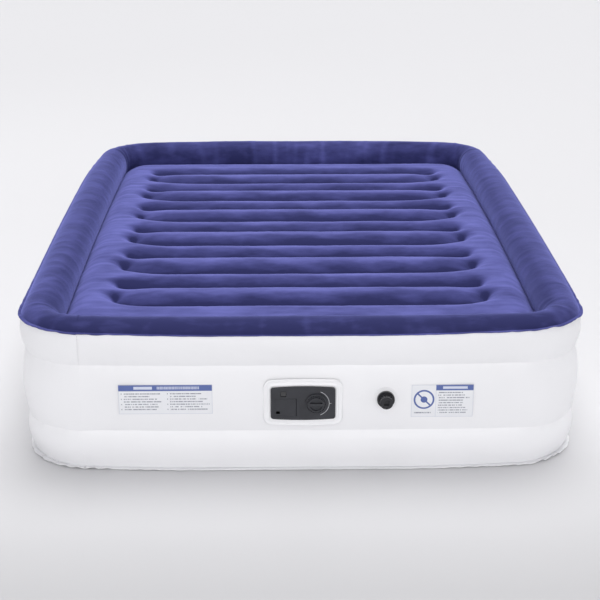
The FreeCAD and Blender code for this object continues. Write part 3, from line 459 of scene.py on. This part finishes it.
def borderRoll():
    low, high = roll["ends"]
    middle, centre = roll["middle"]
    profile = [(radians(low + (high - low) * row / roll["rows"]),) for row in range(roll["rows"] + 1)]

    def place(share, rise, angle):
        flat, away = roundTheBed(share, middle, plan["corner"] - middle)
        near, along = cornerNearness(flat), share * around
        size = roll["radius"] + sin(pi * rise) ** 0.5 * (
            roll["wrinkle"] * rollWrinkle(along, rise, near)
            + roll["sway"] * swell(roll["swayScale"], along, rise))
        inset = middle - size * cos(angle)
        spot, away = roundTheBed(share, inset, plan["corner"] - inset)
        height = centre + size * sin(angle) + crown(spot.y) * rise ** 3
        drop = roll["footDrop"] * ease(-flat.y, *roll["footFrom"]) * sin(pi * rise)
        height += cornerLift(spot, roll["level"]) * (1 - rise) - drop
        spot = spot - away * drawIn(spot, roll["level"]) * (1 - rise)
        return spot.x, spot.y, height
    piece = toObject("borderRoll", wrapGrid(roll["columns"], profile, place), flock)
    # the nap's streaks, with painted shade over the whole roll and on its inner faces, and painted light
    # towards the head
    values = []
    for vert in piece.data.vertices:
        turn = atan2(vert.co.y / plan["half"][1], vert.co.x / plan["half"][0])
        brushed = roll["napStreak"] * max(0.0, swell(roll["streak"], turn, vert.co.z)) - roll["paintedRollShade"]
        inner = roll["paintedInnerShade"] * ease(plan["half"][0] - abs(vert.co.x), *roll["innerShadeFrom"])
        values.append(brushed - inner + roll["paintedHeadLight"] * ease(vert.co.y, *roll["headLightFrom"]))
    setNapAndShade(piece, values)
    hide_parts("roll_foot", "roll_head", "roll_left", "roll_right")


borderRoll()
print("border roll made")

# the quilted sleeping panel: a film held along its weld lines and blown up between them
# the last keys paint light over the whole panel and paint shade on slopes facing the foot and along the welds
quilt = {"half": (0.6455, 0.9005), "corner": 0.062, "tuck": 0.006, "step": 0.0066, "creaseLevel": 0.344,
         "ribs": 6, "pitch": 0.258, "ribHalf": 0.069, "farReach": 0.510, "hookStart": 0.415, "tip": 0.520,
         "hookTop": -0.016, "air": 17.0, "weldSlope": 1.20, "weldWidth": 0.0015, "rounds": 420,
         "highest": 0.034, "startShare": 0.8, "tuckSlope": 0.4, "wrinkle": 0.0011, "calmBy": 0.014,
         "strands": (8, 58, 1.0), "strandShare": (0.25, 0.65), "strandEnds": (0.40, 0.56),
         "cross": (48, 12, 5.0), "crossShare": 0.5, "slow": (6, 9, 9.0), "slowShare": 1.3,
         "streak": (7, 44, 3.0), "streakShare": (0.2, 0.6), "streakEnds": (0.42, 0.56), "paintedQuiltLight": 0.37,
         "paintedSlopeShade": 1.15, "paintedWeldShade": 0.50, "weldShadeReach": 0.011}


def insideBy(spot, half, corner):
    # distance to a rounded rectangle's edge, more than nought inside it
    away = [abs(spot[index]) - half[index] + corner for index in (0, 1)]
    return corner - hypot(max(away[0], 0), max(away[1], 0)) - min(max(away), 0)


def ribWelds(x, y):
    # distances to a rib's two weld lines; the one nearer the foot hooks round the rib's end
    half, start, tip, top = quilt["ribHalf"], quilt["hookStart"], quilt["tip"], quilt["hookTop"]
    far = hypot(max(x - quilt["farReach"], 0), y - half)
    if x < start:
        near = abs(y + half)
    elif y < top:
        across, up = (x - start) / (tip - start), (y - top) / (half + top)
        size = max(0.05, hypot(across, up))
        near = abs(size - 1) * size / hypot(across / (tip - start), up / (half + top))
    else:
        near = hypot(x - tip, y - top)
    return min(far, near)


def weldDistance(spot):
    ribs, middle = quilt["ribs"], (quilt["ribs"] - 1) / 2
    row = max(0, min(ribs - 1, round(spot[1] / quilt["pitch"] + middle)))
    nearest = insideBy(spot, quilt["half"], quilt["corner"])
    for rib in range(max(0, row - 1), min(ribs, row + 2)):
        nearest = min(nearest, ribWelds(abs(spot[0]), spot[1] - (rib - middle) * quilt["pitch"]))
    return nearest


def blowUp(limit, span):
    # settles the film under its air pressure, no higher than its limit anywhere
    level = numpy.minimum(limit, quilt["highest"] * quilt["startShare"])
    lift = quilt["air"] * span[0] ** 2 * span[1] ** 2 / (2 * (span[0] ** 2 + span[1] ** 2))
    share = span[1] ** 2 / (2 * (span[0] ** 2 + span[1] ** 2))
    for turn in range(quilt["rounds"]):
        beside = level[1:-1, :-2] + level[1:-1, 2:]
        along = level[:-2, 1:-1] + level[2:, 1:-1]
        level[1:-1, 1:-1] = numpy.minimum(beside * share + along * (0.5 - share) + lift, limit[1:-1, 1:-1])
    return level


def quiltWrinkle(spot, distance):
    plain, gathered = quilt["strandShare"]
    strands = (plain + gathered * ease(abs(spot[0]), *quilt["strandEnds"])) * swell(quilt["strands"], *spot)
    strands += quilt["crossShare"] * swell(quilt["cross"], *spot)
    strands += quilt["slowShare"] * swell(quilt["slow"], *spot)
    return quilt["wrinkle"] * strands * min(1.0, max(0.0, distance) / quilt["calmBy"])


# the nap's streaks over a painted lightening of the whole panel, with painted shade along the weld lines and
# where the film slopes to face the foot
def quiltNapAndShade(spot, distance, slope):
    # the nap lies dark where it is pressed and where it faces the foot
    plain, gathered = quilt["streakShare"]
    streak = max(0.0, swell(quilt["streak"], *spot))
    brushed = streak * (plain + gathered * ease(abs(spot[0]), *quilt["streakEnds"])) + quilt["paintedQuiltLight"]
    weldShade = quilt["paintedWeldShade"] * exp(-(distance / quilt["weldShadeReach"]) ** 2)
    return brushed - (quilt["paintedSlopeShade"] * max(0.0, slope) + weldShade)


def quiltPanel():
    size = [half + quilt["tuck"] for half in quilt["half"]]
    cells = [ceil(2 * half / quilt["step"]) for half in size]
    span = [2 * half / count for half, count in zip(size, cells)]
    bm = bmesh.new()
    bmesh.ops.create_grid(bm, x_segments=cells[0], y_segments=cells[1], size=1.0)
    limit = numpy.zeros((cells[1] + 1, cells[0] + 1))
    points = []
    for vert in bm.verts:
        spot = (vert.co.x * size[0], vert.co.y * size[1])
        distance = weldDistance(spot)
        place = (round((vert.co.y + 1) / 2 * cells[1]), round((vert.co.x + 1) / 2 * cells[0]))
        limit[place] = min(quilt["highest"], quilt["weldSlope"] * max(0.0, distance - quilt["weldWidth"]))
        points.append((vert, spot, distance, place))
    level = blowUp(limit, span)
    # how steeply the film rises towards the head, which sets the painted shade on slopes facing the foot
    slope = numpy.gradient(level, span[1], axis=0)
    values = []
    for vert, spot, distance, place in points:
        height = float(level[place]) + min(0.0, distance) * quilt["tuckSlope"] + quiltWrinkle(spot, distance)
        vert.co = (*spot, quilt["creaseLevel"] + height + crown(spot[1]))
        values.append(quiltNapAndShade(spot, distance, float(slope[place])))
    piece = toObject("quiltPanel", bm, flock)
    setNapAndShade(piece, values)
    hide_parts("quilt_panel")


quiltPanel()

inner = {"sink": 0.003, "topFrom": (0.297, 0.343), "gap": 0.005}


def fittedFilm(name):
    # an inner film, its top following the panel's welds and its corners kept inside the walls
    bm = bmesh.new()
    bm.from_mesh(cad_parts[name].data)
    bmesh.ops.remove_doubles(bm, verts=bm.verts, dist=joinDistance)
    middle = [size - plan["corner"] for size in plan["half"]]
    for vert in bm.verts:
        vert.co.z += min(0.0, crown(vert.co.y) - inner["sink"]) * ease(vert.co.z, *inner["topFrom"])
        out = Vector((max(0.0, abs(vert.co.x) - middle[0]), max(0.0, abs(vert.co.y) - middle[1])))
        room = plan["corner"] - wall["grooveInset"] - inner["gap"] - max(0.0, drawIn(vert.co, vert.co.z))
        if out.length > room and min(out) > 0:
            out *= room / out.length
            vert.co.x = (middle[0] + out.x) * (1 if vert.co.x > 0 else -1)
            vert.co.y = (middle[1] + out.y) * (1 if vert.co.y > 0 else -1)
    filmName = name.replace("_beam", "Film").replace("_membrane", "Membrane")
    film = toObject(filmName, bm, innerFilm, smooth=False)
    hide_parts(name)


for nodeName in list(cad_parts):
    if nodeName.startswith("rib_beam") or nodeName.endswith(("_beam", "_membrane")):
        fittedFilm(nodeName)
print("quilted panel and inner films made")

# the soft collar round the pump, its profile as (reach, proud) points
collar = {"columns": 200, "half": (0.0840, 0.0440), "corner": 0.007, "cornerShare": 0.75, "bow": 0.003,
          "front": -1.015, "wave": 0.0003, "waveScale": (60, 60, 1.0), "thick": 0.0008,
          "profile": [(-0.006, 0.0006), (-0.004, 0.0020), (0.0002, 0.0022), (0.0012, 0.0034),
                      (0.0026, 0.0043), (0.0044, 0.0047), (0.0062, 0.0043), (0.0080, 0.0033),
                      (0.0095, 0.0024), (0.0112, 0.0021), (0.0135, 0.0022), (0.0155, 0.0025),
                      (0.0170, 0.0026), (0.0184, 0.0021), (0.0196, 0.0012), (0.0202, 0.0002)]}


def pumpCollar():
    def place(share, rise, reach, proud):
        half = [size + reach for size in collar["half"]]
        corner = collar["corner"] + reach * collar["cornerShare"]
        spot, away = roundRect(share, half, corner, (*collar["half"], collar["corner"]))
        bowed = collar["bow"] * (1 - (spot.x / half[0]) ** 2) * spot.y / half[1]
        wave = collar["wave"] * rise * swell(collar["waveScale"], spot.x, spot.y)
        return pumpMiddle.x + spot.x, collar["front"] - proud - wave, pumpMiddle.y + spot.y + bowed
    bm = wrapGrid(collar["columns"], collar["profile"], place)
    bmesh.ops.reverse_faces(bm, faces=bm.faces)
    piece = toObject("pumpCollar", bm, whiteFilm)
    thicken(piece, collar["thick"], -1.0)
    smooth = piece.modifiers.new("smooth", "SUBSURF")
    smooth.levels = smooth.render_levels = 1
    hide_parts("pump_collar")


pumpCollar()
print("pump collar made")

# the labels' colours, the ragged dashes on them, and where each label's plain shapes lie
ink = {"blue": (0.085, 0.13, 0.36), "grey": (0.30, 0.31, 0.36), "pale": (0.75, 0.78, 0.88),
       "line": (0.45, 0.48, 0.60), "paper": ((0.78, 0.79, 0.82), (0.82, 0.83, 0.86)), "edge": 0.0012}
dash = {"grain": 420.0, "rowStep": 7.3, "ragged": 0.35, "height": 0.42, "gap": 0.44}
wide = {"head": 0.0165, "titleMargin": 0.0045, "title": (0.040, 0.088), "words": (0.100, 0.034),
        "wordGrain": 500.0, "under": 0.006, "pitch": 0.0074, "rows": 7, "sides": (0.014, 0.006),
        "middle": (0.006, 0.012), "seeds": (3.0, 11.0), "dot": (0.0075, 0.0050), "dotHeight": 0.2,
        "lowest": 0.012}
small = {"fold": 0.064, "head": 0.0155, "title": (0.0112, 0.0045), "titleSides": (0.018, 0.016),
         "ring": (0.033, 0.051), "ringRadii": (0.0225, 0.0272), "slash": 0.0030, "slashEnd": 0.0235,
         "dot": 0.009, "foldHalf": 0.0006, "note": (0.008, 0.004, 0.0145, 0.009), "noteSeed": 5.0,
         "text": (0.006, 0.004, 0.020, 0.0072), "textRows": 9, "textSeed": 23.0}


def bars(recipe, across, up, span, top, pitch, rows, seed):
    # rows of short grey dashes with ragged ends
    left, right = span
    row = ((top - up) / pitch).math("FLOOR")
    part = ((top - up) / pitch).math("FRACT")
    ends = recipe.add("ShaderNodeTexWhiteNoise", {"noise_dimensions": "1D"}, {"W": row + seed})
    ragged = (right - left) * dash["ragged"]
    end = ends * ragged + (right - ragged)
    place = {0: across * dash["grain"], 1: row * dash["rowStep"] + seed}
    cells = recipe.add("ShaderNodeCombineXYZ", None, place)
    words = recipe.grain(1.0, 1.0, cells)
    inked = (across > left) * (across < end) * (row > -0.5) * (row < rows - 0.5)
    return inked * (part < dash["height"]) * (words > dash["gap"])


def labelFinish(name, box, parts):
    recipe = Recipe(name)
    x, z = recipe.axes()[::2]
    left, right, low, high = box[0].x, box[1].x, box[0].z, box[1].z
    colour = recipe.blend(recipe.grain(40.0), *ink["paper"])
    colour = parts(recipe, x, z, (left, right, low, high), colour)
    rim = ink["edge"]
    edge = (x < left + rim) + (x > right - rim) + (z < low + rim) + (z > high - rim)
    colour = recipe.blend((edge > 0.5) * 0.5, colour, ink["line"])
    skin = recipe.grain(500.0)
    return recipe.finish({"Base Color": colour, "Roughness": skin * 0.15 + 0.3,
                          "Normal": recipe.bump(skin, 0.1, 0.0002), "Coat Weight": 0.2})


def wideParts(recipe, x, z, box, colour):
    # a blue header with two blank words over two columns of dashes
    left, right, low, high = box
    head, margin = high - wide["head"], wide["titleMargin"]
    colour = recipe.blend(z > head, colour, ink["blue"])
    title = (z > head + margin) * (z < high - margin)
    letters = recipe.grain(1.0, 1.0, recipe.add("ShaderNodeCombineXYZ", None, {0: x * wide["wordGrain"]}))
    marks = title * (x > left + wide["title"][0]) * (x < left + wide["title"][1])
    marks += title * (x > left + wide["words"][0]) * (x < right - wide["words"][1]) * (letters > 0.42) * 0.7
    colour = recipe.blend(marks * 0.8, colour, ink["pale"])
    middle, top = (left + right) / 2, head - wide["under"]
    spans = ((left + wide["sides"][0], middle - wide["middle"][0]),
             (middle + wide["middle"][1], right - wide["sides"][1]))
    for span, seed in zip(spans, wide["seeds"]):
        text = bars(recipe, x, z, span, top, wide["pitch"], wide["rows"], seed)
        colour = recipe.blend(text, colour, ink["grey"])
        dots = (x > span[0] - wide["dot"][0]) * (x < span[0] - wide["dot"][1])
        dots *= ((top - z) / (2 * wide["pitch"])).math("FRACT") < wide["dotHeight"]
        colour = recipe.blend(dots * (z < top) * (z > low + wide["lowest"]), colour, ink["grey"])
    return colour


def smallParts(recipe, x, z, box, colour):
    # a ring with a slanted bar on the left, a header over dashes on the right
    left, right, low, high = box
    fold, half = left + small["fold"], small["foldHalf"]
    colour = recipe.blend((x > fold) * (z > high - small["head"]), colour, ink["blue"])
    title = (z > high - small["title"][0]) * (z < high - small["title"][1])
    title *= (x > fold + small["titleSides"][0]) * (x < right - small["titleSides"][1])
    colour = recipe.blend(title * 0.8, colour, ink["pale"])
    across, up = x - (left + small["ring"][0]), z - (low + small["ring"][1])
    far = (across * across + up * up) ** 0.5
    ring = (far > small["ringRadii"][0]) * (far < small["ringRadii"][1])
    slash = (abs(across + up) < small["slash"]) * (far < small["slashEnd"])
    dot = (far < small["dot"]) * 0.85
    colour = recipe.blend(ring + slash + dot > 0.5, colour, ink["blue"])
    colour = recipe.blend((x > fold - half) * (x < fold + half) * 0.5, colour, ink["line"])
    start, end, top, pitch = small["note"]
    note = bars(recipe, x, z, (left + start, fold - end), low + top, pitch, 1, small["noteSeed"])
    colour = recipe.blend(note, colour, ink["grey"])
    start, end, top, pitch = small["text"]
    span, rows, seed = (fold + start, right - end), small["textRows"], small["textSeed"]
    return recipe.blend(bars(recipe, x, z, span, high - top, pitch, rows, seed), colour, ink["grey"])


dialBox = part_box("dial_knob")
dial = {"middle": ((dialBox[0].x + dialBox[1].x) / 2, (dialBox[0].z + dialBox[1].z) / 2), "radius": 0.0342,
        "half": 0.00065, "from": 0.0115, "tickHalf": 0.0006, "tickEnd": 0.0400}


def dialArc(recipe):
    # a printed arc and tick to the right of the dial
    x, z = recipe.axes()[::2]
    across, up = x - dial["middle"][0], z - dial["middle"][1]
    far = (across * across + up * up) ** 0.5
    arc = (abs(far - dial["radius"]) < dial["half"]) * (across > dial["from"])
    tick = (abs(up) < dial["tickHalf"]) * (across > dial["radius"]) * (across < dial["tickEnd"])
    scuff = recipe.grain(260.0, 3.0)
    return (arc + tick > 0.5) * (scuff * 0.6 + 0.5)


charcoal = mouldingFinish("charcoalMoulding", (0.017, 0.018, 0.023), 0.46)
charcoalPrinted = mouldingFinish("charcoalPrinted", (0.017, 0.018, 0.023), 0.46, marks=dialArc)
blackMoulding = mouldingFinish("blackMoulding", (0.014, 0.014, 0.016), 0.40)
blackGloss = mouldingFinish("blackGloss", (0.010, 0.010, 0.013), 0.24, 300.0)
softRubber = mouldingFinish("softRubber", (0.030, 0.030, 0.030), 0.70, 500.0)
steel = steelFinish()
wideLabel = labelFinish("wideLabel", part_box("wide_label"), wideParts)
smallLabel = labelFinish("smallLabel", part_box("small_label"), smallParts)
print("moulding, steel and label finishes made")

# the finish of every CAD node that is shown as it is, by how its name starts
finishes = {
    innerFilm: ("middle_web", "floor_web"),
    charcoal: ("cord_lid", "dial_knob", "switch_body"),
    charcoalPrinted: ("pump_faceplate",),
    blackMoulding: ("pump_housing", "cord_tray", "switch_rocker", "diverter_drum", "volute", "impeller"),
    blackGloss: ("valve_base", "valve_insert", "valve_cap"),
    softRubber: ("pump_gasket", "cord_gland", "outlet_flap", "valve_flap", "cap_o_ring"),
    whiteFilm: ("valve_flange",),
    steel: ("housing_screws", "lid_hinge_pin", "diverter_shaft", "motor_can", "motor_shaft", "motor_armature",
            "flap_pin"),
    wideLabel: ("wide_label",),
    smallLabel: ("small_label",),
}
for finish, starts in finishes.items():
    for name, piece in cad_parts.items():
        if name.startswith(starts):
            piece.data.materials.clear()
            piece.data.materials.append(finish)
print("finishes given to the CAD nodes")

# the floor, the sky and the lamps, each lamp with its kind, strength, place, aim and settings
studio = {"shadowedFloorNear": 0.46, "floorFar": 0.62, "floorTint": (1.0, 0.997, 1.02), "floorShadowFade": (1.15, 1.92),
          "floorSize": 60.0, "horizon": 0.98, "sky": 0.40, "skyTint": (0.975, 0.97, 1.0),
          "skyFade": (0.10, 0.34)}
lamps = {
    "overhead": ("SUN", 2.75, (0.4, 1.4, 4.8), (0, 0, 0), {"angle": radians(46)}),
    "front": ("SUN", 1.24, (0, -4.0, 1.6), (0, 0, 0), {"angle": radians(50)}),
    "key": ("AREA", 8, (-1.6, 2.6, 2.6), (0, 0.2, 0.3), {"shape": "RECTANGLE", "size": 3.0, "size_y": 1.4}),
}


def floorFinish():
    # painted shade: a little darker in front of the bed than beside and behind it
    recipe = Recipe("floor")
    cloud = recipe.grain(0.4)
    slope, start = studio["floorShadowFade"]
    colour = recipe.ramp(recipe.axes()[1] * slope + cloud * 0.05 + start, [
        (0.1, [studio["shadowedFloorNear"] * part for part in studio["floorTint"]]),
        (0.9, [studio["floorFar"] * part for part in studio["floorTint"]])])
    return recipe.finish({"Base Color": colour, "Roughness": cloud * 0.06 + 0.42, "IOR": 1.25})


bm = bmesh.new()
bmesh.ops.create_grid(bm, x_segments=8, y_segments=8, size=studio["floorSize"])
floor = toObject("floor", bm, floorFinish())

world = bpy.data.worlds.new("studio")
bpy.context.scene.world = world
world.use_nodes = True
sky = world.node_tree
heading = sky.nodes.new("ShaderNodeTexCoord")
split = sky.nodes.new("ShaderNodeSeparateXYZ")
fade = sky.nodes.new("ShaderNodeValToRGB")  # a bright horizon under a dimmer sky
for element, at, part in zip(fade.color_ramp.elements, studio["skyFade"], ("horizon", "sky")):
    element.position, element.color = at, [studio[part] * shade for shade in studio["skyTint"]] + [1]
sky.links.new(heading.outputs["Generated"], split.inputs[0])
sky.links.new(split.outputs["Z"], fade.inputs[0])
sky.links.new(fade.outputs[0], sky.nodes["Background"].inputs["Color"])

for name, (kind, energy, spot, aim, settings) in lamps.items():
    data = bpy.data.lights.new(name, kind)
    data.energy = energy
    for key, value in settings.items():
        setattr(data, key, value)
    light = bpy.data.objects.new(name, data)
    light.location = spot
    light.rotation_euler = (Vector(aim) - Vector(spot)).to_track_quat("-Z", "Y").to_euler()
    bpy.context.scene.collection.objects.link(light)
print("floor, sky and lamps made")

# the camera: its focal length for a frame of this width, its angles in degrees, its place in metres
view = {"focal": 1354, "width": 600, "sensor": 36.0, "clipEnd": 200, "pitch": 20.16, "yaw": -1.03,
        "roll": 0.05, "spot": (-0.066, -4.238, 1.664)}
pitch, yaw, tilt = (radians(view[part]) for part in ("pitch", "yaw", "roll"))
level = Vector((cos(yaw), sin(yaw), 0))
ahead = Vector((-sin(yaw), cos(yaw), 0)) * cos(pitch) - Vector((0, 0, sin(pitch)))
rise = level.cross(ahead)
rightward, upward = level * cos(tilt) + rise * sin(tilt), rise * cos(tilt) - level * sin(tilt)
turned = Matrix((rightward, upward, -ahead)).transposed()
lens = bpy.data.cameras.new("camera")
lens.sensor_width, lens.lens = view["sensor"], view["sensor"] * view["focal"] / view["width"]
lens.clip_end = view["clipEnd"]
camera = bpy.data.objects.new("camera", lens)
camera.matrix_world = Matrix.Translation(view["spot"]) @ turned.to_4x4()
bpy.context.scene.collection.objects.link(camera)
bpy.context.scene.camera = camera
bpy.context.scene.view_settings.view_transform = "Standard"
print("stage set")
